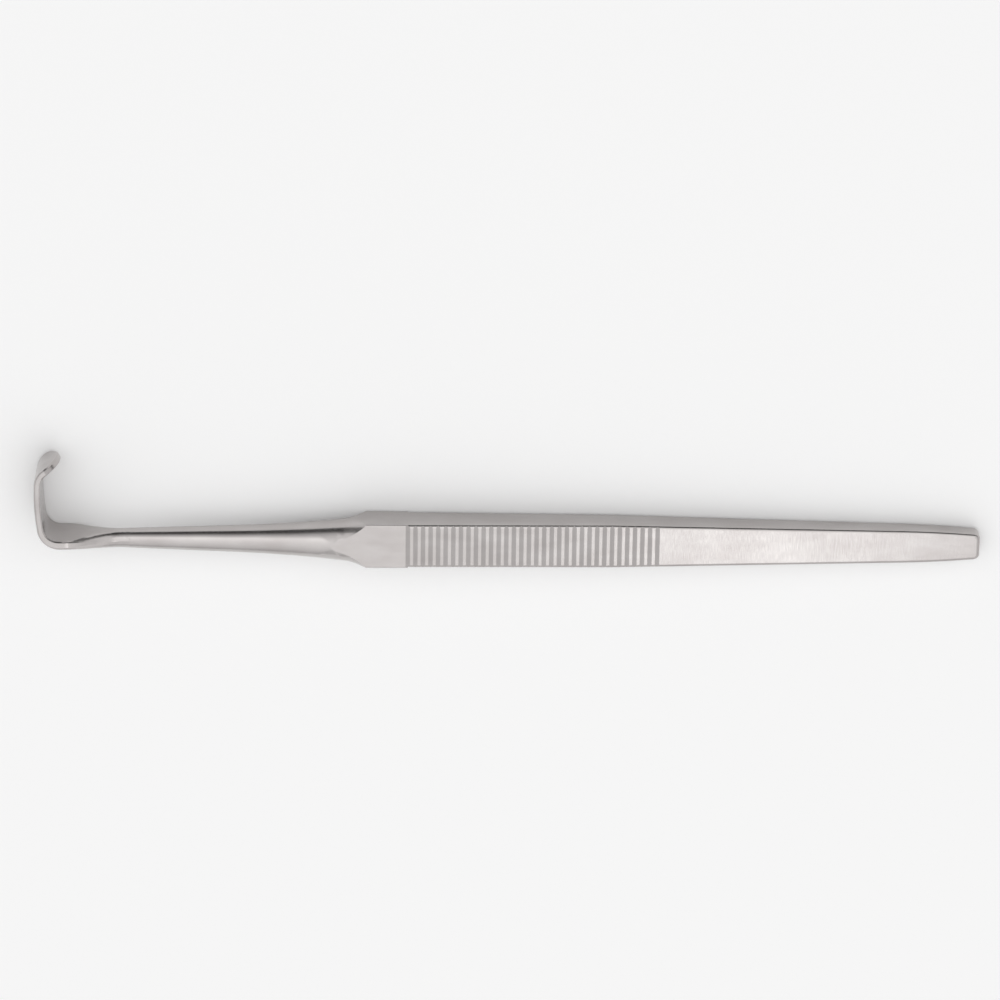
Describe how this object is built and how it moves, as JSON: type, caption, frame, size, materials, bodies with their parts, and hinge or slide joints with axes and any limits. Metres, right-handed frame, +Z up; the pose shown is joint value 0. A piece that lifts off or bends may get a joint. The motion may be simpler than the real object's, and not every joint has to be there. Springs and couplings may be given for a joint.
{
  "type": "handheld surgical retractor",
  "caption": "One-piece stainless steel hand retractor with a flat, tapering, cross-grooved handle, a round shaft and a curved blade that turns up and ends in a small inward lip",
  "frame": {"origin": "Middle of the bounding box's bottom face, on the table that the instrument lies on", "axes": "+X runs along the instrument from the blade to the handle's tail, +Y is the way the blade points, +Z is up from the table"},
  "size_m": [0.2, 0.0238, 0.0111],
  "materials": {
    "stainless_steel": "Satin stainless steel with a fine even grain"
  },
  "bodies": {
    "root": {"retractor": "stainless_steel"}
  },
  "joints": []
}
